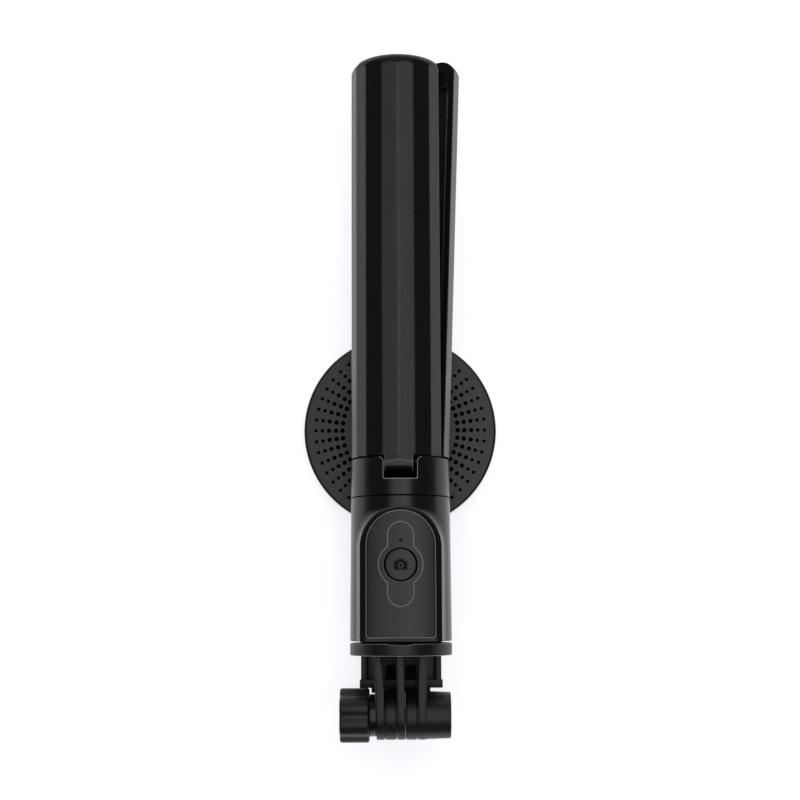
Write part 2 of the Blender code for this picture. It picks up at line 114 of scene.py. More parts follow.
def carved(mesh, *cutters, operation="DIFFERENCE"):
    tools = []
    for cutter in cutters:
        tool = bpy.data.objects.new("cutter", cutter)
        bpy.context.scene.collection.objects.link(tool)
        tools.append(tool)

    def modify(guide):
        for tool in tools:
            change = guide.modifiers.new("cut", "BOOLEAN")
            change.operation = operation
            change.object = tool
    made = applied(mesh, modify)
    for tool in tools:
        bpy.data.objects.remove(tool)
    return made


def eased(mesh, width, angle=40, rings=2, lit=False):
    # a small bevel on the edges sharper than angle; a lit one takes the piece's second finish, a painted
    # highlight
    if lit:
        mesh.materials.append(None)
        mesh.materials.append(None)

    def modify(guide):
        change = guide.modifiers.new("ease", "BEVEL")
        change.width = width
        change.segments = rings
        change.limit_method = "ANGLE"
        change.angle_limit = radians(angle)
        change.use_clamp_overlap = True
        change.miter_outer = "MITER_ARC"
        change.material = 1 if lit else -1
    return applied(mesh, modify)


def block(half, low, high):
    # a rectangle as an outline, centred on u
    return [(-half, low), (half, low), (half, high), (-half, high)]


def arc(cu, cv, radius, start, end, count):
    angles = [radians(start + (end - start) * i / count) for i in range(count + 1)]
    return [(cu + radius * cos(a), cv + radius * sin(a)) for a in angles]


cornerShare = 0.45  # the most of a side that one rounded corner takes


def softened(points, radius, closed=True, steps=3):
    # rounds each corner of an outline, by no more than its shorter side allows
    made = []
    count = len(points)
    for i, (u, v) in enumerate(points):
        if not closed and i in (0, count - 1):
            made.append((u, v))
            continue
        before, after = points[i - 1], points[(i + 1) % count]
        sideIn = hypot(u - before[0], v - before[1])
        sideOut = hypot(after[0] - u, after[1] - v)
        reach = min(radius, sideIn * cornerShare, sideOut * cornerShare)
        start = (u + (before[0] - u) * reach / sideIn, v + (before[1] - v) * reach / sideIn)
        end = (u + (after[0] - u) * reach / sideOut, v + (after[1] - v) * reach / sideOut)
        for k in range(steps + 1):
            t = k / steps
            made.append(tuple((1 - t) ** 2 * a + 2 * t * (1 - t) * b + t * t * c
                              for a, b, c in zip(start, (u, v), end)))
    return made


planes = {
    "XY": Matrix(((1, 0, 0, 0), (0, 1, 0, 0), (0, 0, 1, 0), (0, 0, 0, 1))),
    "YZ": Matrix(((0, 0, 1, 0), (1, 0, 0, 0), (0, 1, 0, 0), (0, 0, 0, 1))),
    "XZ": Matrix(((1, 0, 0, 0), (0, 0, 1, 0), (0, 1, 0, 0), (0, 0, 0, 1))),
}


def prism(outline, low, high, edge=0.0, plane="XY", holes=(), rings=2):
    # a flat outline, filled, extruded, and rounded by edge along its rims
    curve = bpy.data.curves.new("outline", "CURVE")
    curve.dimensions = "2D"
    curve.fill_mode = "BOTH"
    curve.extrude = (high - low) / 2 - edge
    curve.bevel_depth = edge
    curve.bevel_resolution = rings
    curve.offset = -edge
    for points in (outline, *holes):
        spline = curve.splines.new("POLY")
        spline.points.add(len(points) - 1)
        for point, (u, v) in zip(spline.points, points):
            point.co = (u, v, 0, 1)
        spline.use_cyclic_u = True
    guide = bpy.data.objects.new("guide", curve)
    bpy.context.scene.collection.objects.link(guide)
    bpy.context.view_layer.update()
    graph = bpy.context.evaluated_depsgraph_get()
    mesh = bpy.data.meshes.new_from_object(guide.evaluated_get(graph))
    bpy.data.objects.remove(guide)
    bpy.data.curves.remove(curve)
    return cleaned(mesh, planes[plane] @ Matrix.Translation((0, 0, (low + high) / 2)))


axes = {
    "Z": lambda r, a, h: (r * cos(a), r * sin(a), h),
    "Y": lambda r, a, h: (r * sin(a), h, r * cos(a)),
    "X": lambda r, a, h: (h, r * cos(a), r * sin(a)),
}


def lathe(profile, axis="Y", segments=96, centre=(0, 0, 0), ring=False):
    # turns (radius, height) points about an axis; a ring's profile is closed
    points = []
    faces = []
    rows = len(profile)
    for r, h in profile:
        for i in range(segments):
            x, y, z = axes[axis](r, 2 * pi * i / segments, h)
            points.append((x + centre[0], y + centre[1], z + centre[2]))
    for row in range(rows if ring else rows - 1):
        following = (row + 1) % rows
        for i in range(segments):
            j = (i + 1) % segments
            faces.append((row * segments + i, row * segments + j,
                          following * segments + j, following * segments + i))
    return newMesh(points, faces)


def loft(rows, capStart=True, capEnd=True):
    # skins closed rows of points that all have the same count
    points = [p for row in rows for p in row]
    count = len(rows[0])
    faces = []
    for row in range(len(rows) - 1):
        for i in range(count):
            j = (i + 1) % count
            faces.append((row * count + i, row * count + j,
                          (row + 1) * count + j, (row + 1) * count + i))
    if capStart:
        faces.append(tuple(range(count)))
    if capEnd:
        faces.append(tuple(range(len(points) - count, len(points))))
    return newMesh(points, faces)


def marked(mesh, test, share=1):
    # gives one of the piece's further finishes to the faces that pass the test
    for face in mesh.polygons:
        if test(face):
            face.material_index = share
    return mesh


def around(angle):
    # turns about the stick's axis, so that +z goes towards +x
    return Matrix.Rotation(radians(angle), 4, "Y")


# materials

class Wire:
    # a shader socket that takes part in sums
    def __init__(self, graph, socket):
        self.graph = graph
        self.socket = socket

    def combine(self, operation, first, second):
        return self.graph.node("ShaderNodeMath", {"operation": operation}, {0: first, 1: second})

    def __add__(self, other):
        return self.combine("ADD", self, other)

    def __radd__(self, other):
        return self.combine("ADD", other, self)

    def __sub__(self, other):
        return self.combine("SUBTRACT", self, other)

    def __rsub__(self, other):
        return self.combine("SUBTRACT", other, self)

    def __mul__(self, other):
        return self.combine("MULTIPLY", self, other)

    def __rmul__(self, other):
        return self.combine("MULTIPLY", other, self)


class Finish:
    # one material and its nodes
    def __init__(self, name):
        self.material = bpy.data.materials.new(name)
        self.material.use_nodes = True
        self.tree = self.material.node_tree
        self.shader = self.tree.nodes["Principled BSDF"]

    def feed(self, socket, value):
        if isinstance(value, Wire):
            self.tree.links.new(value.socket, socket)
        elif isinstance(value, tuple) and len(value) == 3 and socket.type == "RGBA":
            socket.default_value = (*value, 1)
        else:
            socket.default_value = value

    def node(self, kind, settings=None, values=None, output=0):
        made = self.tree.nodes.new(kind)
        for name, value in (settings or {}).items():
            setattr(made, name, value)
        for name, value in (values or {}).items():
            self.feed(made.inputs[name], value)
        return Wire(self, made.outputs[output])

    def place(self, stretch=(1, 1, 1)):
        # object coordinates in metres, stretched for drawn or brushed marks
        where = self.node("ShaderNodeTexCoord", output="Object")
        return self.node("ShaderNodeMapping", {}, {"Vector": where, "Scale": stretch})

    def noise(self, scale, detail=2.0, stretch=(1, 1, 1)):
        return self.node("ShaderNodeTexNoise", {},
                         {"Vector": self.place(stretch), "Scale": scale, "Detail": detail}, "Fac")

    def ramp(self, value, low, high):
        # 0 below low, 1 above high
        return self.node("ShaderNodeMapRange", {"interpolation_type": "SMOOTHSTEP"},
                         {"Value": value, "From Min": low, "From Max": high}, "Result")

    def mix(self, share, first, second):
        return self.node("ShaderNodeMix", {"data_type": "RGBA"},
                         {"Factor": share, 6: first, 7: second}, 2)

    def bump(self, height, strength, distance, normal=None):
        values = {"Height": height, "Strength": strength, "Distance": distance}
        if normal:
            values["Normal"] = normal
        return self.node("ShaderNodeBump", {}, values)

    def surface(self, **values):
        for name, value in values.items():
            self.feed(self.shader.inputs[inputNames[name]], value)
        return self.material


inputNames = {
    "colour": "Base Color", "roughness": "Roughness", "metallic": "Metallic", "normal": "Normal",
    "specular": "Specular IOR Level", "emission": "Emission Color",
    "emissionStrength": "Emission Strength",
}


def mouldedPlastic(name, look):
    # black plastic with the mould's fine grain, faint cloudiness, wiped streaks and specks of dust
    finish = Finish(name)
    cloud = finish.noise(look["cloudScale"], 3)
    streak = finish.noise(look["streakScale"], 2, (1, 0.06, 1))
    grain = finish.noise(look["grainScale"], 2)
    speck = finish.ramp(finish.noise(look["speckScale"], 1), *look["speckBand"])
    roughness = look["roughness"] + (cloud - 0.5) * look["cloudiness"] + (streak - 0.5) * look["streaks"]
    colour = finish.mix(speck * look["dust"], look["colour"], look["dustColour"])
    crown = None
    if look["crown"]:
        # shades a flat face as if it bulged slightly from side to side
        across = finish.node("ShaderNodeSeparateXYZ", {}, {"Vector": finish.place()}, "X")
        crown = finish.bump(across * across * -look["crown"], 1.0, 1.0)
    normal = finish.bump(grain, look["grain"], look["grainDepth"], crown)
    return finish.surface(colour=colour, roughness=roughness + speck * look["dustRoughness"],
                          normal=normal, specular=look["specular"])


def drawnMetal(name, look):
    # metal with fine lines along the direction that stretch leaves long
    finish = Finish(name)
    lines = finish.noise(look["lineScale"], 3, look["stretch"])
    cloud = finish.noise(120, 2)
    colour = finish.mix(lines, look["colour"], tuple(c * 0.8 for c in look["colour"]))
    normal = finish.bump(lines, look["lines"], 0.00002)
    return finish.surface(colour=colour, roughness=look["roughness"] + (cloud - 0.5) * 0.1,
                          metallic=1.0, normal=normal)


# some of these looks are painted light: a pale painted highlight for the narrow faces along edges and
# grooves, a near-black painted shade for the bottoms of recesses, and a less glossy copy of the leg's look
# as painted shade on its rounded free end
satinLook = {"colour": (0.006, 0.006, 0.0065), "roughness": 0.27, "specular": 0.42, "crown": 0.0,
             "cloudScale": 90, "cloudiness": 0.05, "streakScale": 900, "streaks": 0.08,
             "grainScale": 6000, "grain": 0.1, "grainDepth": 0.00002,
             "speckScale": 2600, "speckBand": (0.745, 0.78), "dust": 0.35,
             "dustColour": (0.12, 0.12, 0.12), "dustRoughness": 0.2}
legLook = dict(satinLook, grain=0.05, specular=0.45)
faceLook = dict(satinLook, specular=0.47, roughness=0.34, crown=10.5)
grainedLook = dict(satinLook, roughness=0.42, grainScale=3200, grain=0.5, grainDepth=0.00004)
paintedHighlightLook = dict(satinLook, colour=(0.36, 0.36, 0.375), roughness=0.3, grain=0.0, dust=0.0)
paintedShadeLook = dict(satinLook, colour=(0.001, 0.001, 0.001), roughness=0.8, specular=0.02, dust=0.0)
# a less glossy copy of the leg's look, painted shade for its rounded free end
paintedShadeEndLook = dict(legLook, specular=0.08)
rubberLook = dict(satinLook, colour=(0.012, 0.012, 0.012), roughness=0.75, grainScale=4000, grain=0.4,
                  specular=0.35)

looks = {
    "satin_black": mouldedPlastic("satinBlack", satinLook),
    "grained_black": mouldedPlastic("grainedBlack", grainedLook),
    "rubber": mouldedPlastic("rubber", rubberLook),
    "black_tube": drawnMetal("blackTube", {"colour": (0.035, 0.035, 0.037), "roughness": 0.28,
                                           "lineScale": 3000, "lines": 0.25, "stretch": (1, 0.02, 1)}),
    "steel": drawnMetal("steel", {"colour": (0.5, 0.5, 0.51), "roughness": 0.3,
                                  "lineScale": 2500, "lines": 0.2, "stretch": (0.1, 1, 1)}),
    "magnet": drawnMetal("magnetNickel", {"colour": (0.45, 0.45, 0.47), "roughness": 0.2,
                                          "lineScale": 900, "lines": 0.1, "stretch": (1, 1, 1)}),
}
legFinish = mouldedPlastic("legBlack", legLook)
faceFinish = mouldedPlastic("remoteFace", faceLook)
# a pale painted highlight for the narrow faces along edges and grooves
paintedHighlightFinish = mouldedPlastic("paintedHighlightEdge", paintedHighlightLook)
# a near-black painted shade for the bottoms of recesses
paintedShadeFinish = mouldedPlastic("paintedShadeRecess", paintedShadeLook)
paintedShadeEndFinish = mouldedPlastic("legEndPaintedShade", paintedShadeEndLook)
pinFinish = drawnMetal("darkPin", {"colour": (0.02, 0.02, 0.021), "roughness": 0.4,
                                   "lineScale": 2500, "lines": 0.2, "stretch": (0.1, 1, 1)})


def boardFinish():
    # green solder mask over a grid of tracks
    finish = Finish("boardGreen")
    tracks = finish.ramp(finish.noise(700, 1, (1, 0.15, 1)), 0.5, 0.56)
    colour = finish.mix(tracks, (0.012, 0.09, 0.035), (0.02, 0.16, 0.06))
    return finish.surface(colour=colour, roughness=0.35 + tracks * 0.08,
                          normal=finish.bump(tracks, 0.4, 0.00003))


def clearFinish():
    # the smoky lamp window, nearly black while the lamp is off
    finish = Finish("clearPlastic")
    cloud = finish.noise(500, 2)
    return finish.surface(colour=(0.004, 0.004, 0.004), roughness=0.3 + cloud * 0.08, specular=0.08)


def printFinish():
    # dull ink with slightly uneven cover
    finish = Finish("blackInk")
    cover = finish.noise(5000, 2)
    colour = finish.mix(cover, (0.001, 0.001, 0.001), (0.003, 0.003, 0.003))
    return finish.surface(colour=colour, roughness=0.5 + cover * 0.1, specular=0.15)


looks["board_green"] = boardFinish()
looks["clear_plastic"] = clearFinish()
inkFinish = printFinish()
for part in frame["record"]["subparts"]:
    slots = frame["nodes"][part["node"]].data.materials
    slots.clear()
    slots.append(looks[part["material_slot"]])
print("finishes made")


def show(name, mesh, carrier, slotName, finish=None, nodes=(), angle=32, further=()):
    # one finished piece: placed, shaded, riding on its body, standing for its plain nodes
    piece = bpy.data.objects.new(name, moved(mesh, stickPlace))
    bpy.context.scene.collection.objects.link(piece)
    shares = [min(face.material_index, len(further)) for face in mesh.polygons]
    mesh.materials.clear()
    for made in (finish or looks[slotName], *further):
        mesh.materials.append(made)
    mesh.polygons.foreach_set("material_index", shares)
    mesh.shade_smooth()
    mesh.set_sharp_from_angle(angle=radians(angle))
    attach(piece, carrier)
    if nodes:
        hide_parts(*nodes)
    return piece


# tripod legs

leg = {"radius": 15.6, "facet": 20, "half": 60, "edgeSoftness": 0.12, "seam": 0.17, "seamRound": 0.28,
       "wall": 1.8, "start": 12.2, "end": 141.8, "endRound": 5.2, "endProud": 0.15, "endWall": 3.4,
       "tip": 0.35, "undercut": 3.0, "pinY": 10.5, "pinZ": 12.2, "pinHalf": 7, "pinRadius": 0.8,
       "lugHalf": 4.4, "lugY": 9.98, "lugZ": 12.05, "lugEnd": 16, "barrel": 2.5,
       "angles": {"front": 0, "left": -120, "right": 120}, "ajar": {"front": 0, "left": 0, "right": 2.3},
       "shift": {"front": -0.45, "left": 0, "right": 0},
       "footRadius": 9.5, "footInset": 1.6, "footSunk": 0.7, "footProud": 0.2,
       "ribAngle": 46, "ribStart": 100.6, "ribEnd": 115, "ribHalf": 0.35, "stopHalf": 0.7, "stopLength": 1.6,
       "pipY": 123.5, "pipRadius": 0.7}
apothem = leg["radius"] * cos(radians(leg["facet"] / 2))


def facetReach(angle):
    # radius of the facetted section at an angle in degrees, with slightly rounded corners
    turns = [angle - leg["facet"] * (i + 0.5) for i in range(-4, 4)]
    nearest, second = sorted(apothem / cos(radians(turn)) for turn in turns if abs(turn) < 30)[:2]
    nearness = max(leg["edgeSoftness"] - (second - nearest), 0) / leg["edgeSoftness"]
    return nearest - nearness ** 2 * leg["edgeSoftness"] / 4


def endReach(y):
    # radius of the rounded free end at a height
    over = y - (leg["end"] - leg["endRound"])
    flat = leg["radius"] + leg["endProud"] - leg["endRound"]
    return flat + sqrt(max(leg["endRound"] ** 2 - max(over, 0) ** 2, 0))


def legRow(y, inset=0.0):
    # closed row of a leg at a height: the facets, then the two flat sides that meet near the axis
    half = leg["half"]
    limit = endReach(y)
    angles = []
    for number in range(-2, 4):
        middle = leg["facet"] * number - leg["facet"] / 2
        angles += [middle + step for step in (-8.6, -6.5, -3.5, 0, 3.5, 6.5, 8.6)]
        if number < 3:
            angles += [middle + step for step in (9.4, 10, 10.6)]  # round the corner to the next facet
    row = []
    cornerReach = min(facetReach(half), limit) - inset
    inwards = degrees(leg["seam"] / cornerReach)
    roundIn = degrees(leg["seamRound"] / cornerReach)
    first, last = -half + inwards + roundIn, half - inwards - roundIn
    angles = [first] + [a for a in angles if first + 0.3 < a < last - 0.3] + [last]
    for a in angles:
        reach = min(facetReach(a), limit) - inset
        row.append((reach * sin(radians(a)), y, reach * cos(radians(a))))
    sideEnd = seamPoint(half, cornerReach - 0.08, inwards, y)
    sideDeep = seamPoint(half, cornerReach - leg["seamRound"], inwards * 1.02, y)
    row += [sideEnd, sideDeep, (0, y, leg["tip"])]
    row += [(-sideDeep[0], y, sideDeep[2]), (-sideEnd[0], y, sideEnd[2])]
    return row


def seamPoint(half, reach, inwards, y):
    # a point on the flat side that faces the next leg
    angle = radians(half - inwards)
    return (reach * sin(angle), y, reach * cos(angle))


def legShape():
    roundStart = leg["end"] - leg["endRound"]
    stations = [(leg["start"], 0.25), (leg["start"] + 0.1, 0.08), (leg["start"] + 0.3, 0)]
    stations += [(roundStart - 12, 0), (roundStart - 1, 0)]
    rounds = 18
    for i in range(1, rounds + 1):
        stations.append((roundStart + leg["endRound"] * sin(radians(90 * i / rounds)), 0))
    solid = loft([legRow(y, inset) for y, inset in stations])
    inner = leg["radius"] - leg["wall"] / cos(radians(leg["facet"] / 2))
    turns = [radians(leg["facet"] * i) for i in range(360 // leg["facet"])]
    hollow = [(inner * sin(turn), inner * cos(turn)) for turn in turns]
    hollow = prism(softened(hollow, 0.6), leg["start"] - 1, leg["end"] - leg["endWall"], 0.3, "XZ")
    pocket = prism(softened(pieOutline(leg["footRadius"] + gap, leg["footInset"] - gap), 0.6),
                   leg["end"] - 1, leg["end"] + 1, plane="XZ")
    rise = leg["undercut"]
    undercut = lathe([(0, leg["start"] + rise), (leg["radius"] - rise, leg["start"] + rise),
                      (leg["radius"] + 0.7, leg["start"] - 0.7), (0, leg["start"] - 0.7)])
    shell = carved(solid, hollow, pocket, undercut)
    # the rounded free end's upward faces take the duller copy of the leg's finish, a painted shade
    marked(shell, lambda face: face.center.y > roundStart and face.normal.y > 0.12, 2)
    return joined(shell, lugShape(), *ribShapes(inner))


def pieOutline(radius, inset):
    # a leg's third of a disc as (x, z), its straight sides set in from the neighbours
    spread = leg["half"] - degrees(asin(inset / radius))
    return [(0, inset / sin(radians(leg["half"]))), *arc(0, 0, radius, 90 + spread, 90 - spread, 24)]


def lugShape():
    # the hinge lug that runs down from the front facets into the collar's notch
    half, crown = leg["lugHalf"], leg["radius"] - 0.03
    drop = half * tan(radians(leg["facet"] / 2))
    face = [(-half, 9.0), (-half, crown - drop), (0, crown), (half, crown - drop), (half, 9.0)]
    top, beyond = leg["lugZ"] + leg["barrel"], leg["radius"] + 2.4
    side = [(leg["lugEnd"], 17), (leg["lugY"], 17)]
    side += arc(leg["lugY"], leg["lugZ"], leg["barrel"], 90, 270, 30) + [(leg["lugEnd"], 9.3)]
    lug = carved(prism(side, -half - 1, half + 1, plane="YZ"),
                 prism(face, 5, leg["lugEnd"] + 2, plane="XZ"), operation="INTERSECT")
    peak = [(-6, 6), (6, 6), (6, 9.87), (0, 11.1), (-6, 9.87)]  # the lug's pointed front edge, from above
    # the lug's bevel faces take a painted highlight
    return eased(carved(lug, prism(peak, top, beyond)), 0.2, 25, lit=True)


def ribShapes(inner):
    # stiffening ribs and a snap pip inside each long edge
    made = []
    height = inner * cos(radians(leg["facet"] / 2)) + 0.2
    start, r = leg["ribStart"], leg["pipRadius"]
    for side in (-1, 1):
        turn = around(side * leg["ribAngle"])
        rib = prism(softened(block(leg["ribHalf"], start, leg["ribEnd"]), 0.3), height - 0.9, height, 0.12)
        stop = prism(softened(block(leg["stopHalf"], start, start + leg["stopLength"]), 0.4),
                     height - 1.1, height, 0.15)
        pip = lathe(softened([(0, height - 1.2), (r, height - 1.2), (r, height), (0, height)],
                             0.2, closed=False), "Z", 24, (0, leg["pipY"], 0))
        made += [moved(piece, turn) for piece in (rib, stop, pip)]
    return made


legMesh = legShape()
footMesh = prism(softened(pieOutline(leg["footRadius"], leg["footInset"]), 0.5),
                 leg["end"] - leg["footSunk"], leg["end"] + leg["footProud"], 0.15, "XZ")
pinEnd, pinRadius = leg["pinHalf"], leg["pinRadius"]
pinMesh = lathe(softened([(0, -pinEnd), (pinRadius, -pinEnd), (pinRadius, pinEnd), (0, pinEnd)],
                         0.15, closed=False), "X", 32, (0, leg["pinY"], leg["pinZ"]))
for side, angle in leg["angles"].items():
    pin = Matrix.Translation((0, leg["pinY"], leg["pinZ"]))
    tilt = around(angle) @ pin @ Matrix.Rotation(radians(leg["ajar"][side]), 4, "X") @ pin.inverted()
    tilt = Matrix.Translation((leg["shift"][side], 0, 0)) @ tilt
    carrier = "leg_" + side  # also the leg's own node
    show("leg_shell_" + side, moved(legMesh.copy(), tilt), carrier, "satin_black", legFinish, [carrier],
         angle=17, further=[paintedHighlightFinish, paintedShadeEndFinish])
    show("foot_sole_" + side, moved(footMesh.copy(), tilt), carrier, "rubber", nodes=["foot_pad_" + side])
    show("hinge_pin_" + side, moved(pinMesh.copy(), around(angle)), "handle", "steel", pinFinish,
         ["leg_pin_" + side])
print("legs made")

# leg collar

collar = {"top": 11.9, "radius": 15.6, "bore": 9.3, "notchHalf": 5.2, "notchFloor": 5.2, "notchRound": 1.5,
          "floorRound": 0.5, "notchDepth": 9.6, "edgeWidth": 0.24, "edgeStep": 0.16}


def notchOutline(grow=0.0):
    # one notch from its floor to past the collar's top, flaring out there
    small = collar["floorRound"]
    half, floor = collar["notchHalf"] + grow, collar["notchFloor"] - grow
    flare = collar["notchRound"] - grow
    right = arc(half - small, floor + small, small, 270, 360, 4)
    right += arc(half + flare, collar["top"] - collar["notchRound"] + 0.01, flare, 180, 90, 8)
    right.append((half + flare, collar["top"] + 1))
    return right + [(-x, y) for x, y in reversed(right)]


def notchCutters(grow=0.0):
    return [moved(prism(notchOutline(grow), collar["notchDepth"], collar["radius"] + 2.4), around(angle))
            for angle in leg["angles"].values()]


def collarShape():
    ring = lathe(softened([(collar["bore"], gap / 2), (collar["radius"], gap / 2),
                           (collar["radius"], collar["top"]), (collar["bore"], collar["top"])], 0.25),
                 segments=144, ring=True)
    # the notches' edges are a shallow step, so that they show as narrow faces with a painted highlight
    step = collar["radius"] - collar["edgeStep"]
    skin = [(step, -1), (collar["radius"] + 1, -1), (collar["radius"] + 1, 14), (step, 14)]
    steps = [carved(lathe(skin, segments=144, ring=True), cutter, operation="INTERSECT")
             for cutter in notchCutters(collar["edgeWidth"])]
    made = carved(ring, *notchCutters(), *steps)
    marked(made, lambda face: abs(hypot(face.center.x, face.center.z) - step) < 0.06
           and abs(face.normal.y) < 0.2)
    # the notch floors next to the bore take a painted shade
    return marked(made, lambda face: collar["bore"] + 0.1 < hypot(face.center.x, face.center.z) < 10
                  and face.center.y > collar["notchFloor"] and abs(face.normal.y) < 0.1, 2)


show("collar_ring", collarShape(), "handle", "satin_black", nodes=["leg_collar"],
     further=[paintedHighlightFinish, paintedShadeFinish])
print("collar made")

# handle body with the raised arch round the remote

housing = {"start": -gap / 2, "end": -44.7, "radius": 15.6, "endRadius": 15.95, "bore": 9.3,
           "padHalf": 12.6, "padTop": -3.4, "rimZ": 16.3, "rimSlope": 0.5, "rimEdge": 0.22,
           "fillet": 1.5, "topFillet": 1.5}
remote = {"half": 10.8, "top": -4.5, "bottom": -43.6, "face": 16.2, "back": 10.6, "seam": 13.0,
          "corner": 1.2, "buttonY": -21.3, "buttonRadius": 5.0, "ledY": -13.9, "ledRadius": 0.5, "skin": 1.0,
          "keyHalf": 4.0, "keyTop": -8.2, "keyBottom": -34.0, "keySwell": 6.8, "lipInset": 0.72,
          "lipWidth": 0.14}


def archOutline(half, top, bottom, corner=0.0, count=48):
    points = arc(0, top - half, half, 0, 180, count)
    if corner:
        points += arc(-half + corner, bottom + corner, corner, 180, 270, 5)
        points += arc(half - corner, bottom + corner, corner, 270, 360, 5)
    else:
        points += [(-half, bottom), (half, bottom)]
    return points


def bodyReach(y):
    share = (housing["start"] - y) / (housing["start"] - housing["end"])
    return housing["radius"] + (housing["endRadius"] - housing["radius"]) * share


def skinHeight(x, y):
    return sqrt(max(bodyReach(y) ** 2 - x * x, 0.01))


def padSkirt():
    # rows across the pad's rim, from inside the pocket, over the rim, down the wall and out on the body
    half, top = housing["padHalf"], housing["padTop"]
    pocketHalf = remote["half"] + gap
    stations = []
    count = 60
    for i in range(count + 1):
        a = radians(180 * i / count)
        outer = (half * cos(a), top - half + half * sin(a))
        inner = (pocketHalf * cos(a), remote["top"] + gap - pocketHalf + pocketHalf * sin(a))
        stations.append((outer, inner, (cos(a), sin(a))))
    straight = [top - half + (housing["end"] - top + half) * i / 12 for i in range(1, 13)]
    right = [((half, y), (pocketHalf, y), (1, 0)) for y in reversed(straight)]
    left = [((-half, y), (-pocketHalf, y), (-1, 0)) for y in straight]
    rows = []
    for outer, inner, out in right + stations + left:
        width = hypot(outer[0] - inner[0], outer[1] - inner[1])
        rimLow = housing["rimZ"] - width * housing["rimSlope"]
        edge = housing["rimEdge"]

        def spot(distance, z):
            # beside the rim's outer line, outwards
            return (outer[0] + out[0] * distance, outer[1] + out[1] * distance, z)

        def onRim(share, drop):
            # across the rim, from the pocket's edge
            return (inner[0] * (1 - share) + outer[0] * share, inner[1] * (1 - share) + outer[1] * share,
                    housing["rimZ"] - drop)
        reach = housing["fillet"] + housing["topFillet"] * max(out[1], 0) ** 2
        foot = (outer[0] + out[0] * reach, outer[1] + out[1] * reach)
        footZ = skinHeight(*foot)
        nearer = (outer[0] + out[0] * (reach - 0.1), outer[1] + out[1] * (reach - 0.1))
        slope = (skinHeight(*nearer) - footZ) / 0.1
        wallFoot = min(footZ + slope * reach, rimLow - edge)
        row = [(inner[0], inner[1], remote["back"] - gap), onRim(0, 0.15), onRim(0.005, 0.03),
               onRim(0.12, width * housing["rimSlope"] * 0.12)]
        row += [spot(-edge, rimLow + edge * housing["rimSlope"]), spot(-edge * 0.3, rimLow),
                spot(0, rimLow - edge)]
        steps = 8
        for k in range(1, steps + 1):
            t = k / steps
            z = (1 - t) ** 2 * (rimLow - edge) + 2 * t * (1 - t) * wallFoot + t * t * footZ
            row.append(spot(reach * t * t, z))
        row.append(spot(reach + 0.3, footZ - slope * 0.3 - 0.12))
        row.append(spot(-0.6, min(footZ, 9.0) - 1.0))
        row.append((inner[0], inner[1], remote["back"] - gap - 0.4))
        rows.append(row)
    return loft(rows)


def bodyShape():
    bore, start, end = housing["bore"], housing["start"], housing["end"]
    shell = lathe(softened([(bore, end), (housing["endRadius"], end), (housing["radius"], start),
                            (bore, start)], 0.22), segments=144, ring=True)
    pocket = prism(archOutline(remote["half"] + gap - 0.02, remote["top"] + gap - 0.02, end - 1),
                   remote["back"] - gap, 20)
    return joined(carved(shell, pocket), padSkirt())


show("handle_shell", bodyShape(), "handle", "satin_black", nodes=["handle_body"])
print("handle made")

# remote

def keyhole(inset):
    # the long panel with a round swell in its middle, as one outline
    half, swell = remote["keyHalf"] - inset, remote["keySwell"] - inset
    high, low = remote["keyTop"] - inset, remote["keyBottom"] + inset
    middle = remote["buttonY"]
    meet = degrees(acos(half / swell))
    outline = arc(0, high - half, half, 0, 180, 20)
    outline += arc(0, middle, swell, 180 - meet, 180 + meet, 24)
    outline += arc(0, low + half, half, 180, 360, 20)
    outline += arc(0, middle, swell, 360 - meet, 360 + meet, 24)
    return outline


def lineCutter(outline, width, depth):
    # a shallow V groove along an outline that takes an inset
    face = remote["face"]
    rows = [[(x, y, face + 0.02) for x, y in outline(-width)],
            [(x, y, face - depth) for x, y in outline(0)],
            [(x, y, face + 0.02) for x, y in outline(width)]]
    return loft(rows + rows[:1], capStart=False, capEnd=False)


def insetArch(inset, corner):
    # the remote's own outline, drawn in by inset
    return archOutline(remote["half"] - inset, remote["top"] - inset, remote["bottom"] + inset, corner)


def coverShape():
    # the remote's face, with the keyhole groove, a fine line inside its edge and two holes; its sloping
    # faces, on the groove, the button hole's chamfer and the rounded edge, take a painted highlight
    face = remote["face"]
    spot = (0, remote["buttonY"], 0)
    shell = prism(insetArch(0, remote["corner"]), remote["seam"] + gap / 2, face, 0.42, rings=4)
    hollow = prism(insetArch(remote["skin"], 0.8), remote["seam"] - 1, face - remote["skin"])
    groove = lineCutter(keyhole, 0.17, 0.15)
    lip = prism(insetArch(remote["lipInset"], 0.7), face - 0.1, face + 1,
                holes=[insetArch(remote["lipInset"] + remote["lipWidth"], 0.6)])
    r, low, high = remote["buttonRadius"] + gap, face - 3, face + 0.1
    buttonHole = lathe([(0, low), (r, low), (r, face - 0.14), (r + 0.18, high), (0, high)], "Z", 72, spot)
    r = remote["ledRadius"]
    ledHole = lathe([(0, low), (r, low), (r, high), (0, high)], "Z", 24, (0, remote["ledY"], 0))
    made = carved(shell, hollow, groove, lip, buttonHole, ledHole)
    return marked(made, lambda face: 0.3 < face.normal.z < 0.93)


def trayShape():
    shell = prism(insetArch(0, remote["corner"]), remote["back"], remote["seam"] - gap / 2, 0.25)
    hollow = prism(insetArch(remote["skin"], 0.8), remote["back"] + 1.0, remote["seam"] + 1)
    return carved(shell, hollow)


def buttonShape():
    face, r = remote["face"], remote["buttonRadius"]
    profile = [(0, face - 0.16), (r * 0.6, face - 0.12), (r - 0.35, face - 0.08), (r, face - 0.4),
               (r, face - 1.3), (r + 0.9, face - 1.3), (r + 0.9, face - 1.7), (1.2, face - 1.7),
               (1.2, face - 1.9), (0, face - 1.9)]
    return lathe(softened(profile, 0.3, closed=False), "Z", 72, (0, remote["buttonY"], 0))


icon = {"half": 2.05, "height": 1.45, "finderTop": 0.75, "finderFoot": 1.15, "finderRise": 0.35,
        "lens": 0.95, "dot": 0.5, "ink": 0.02}


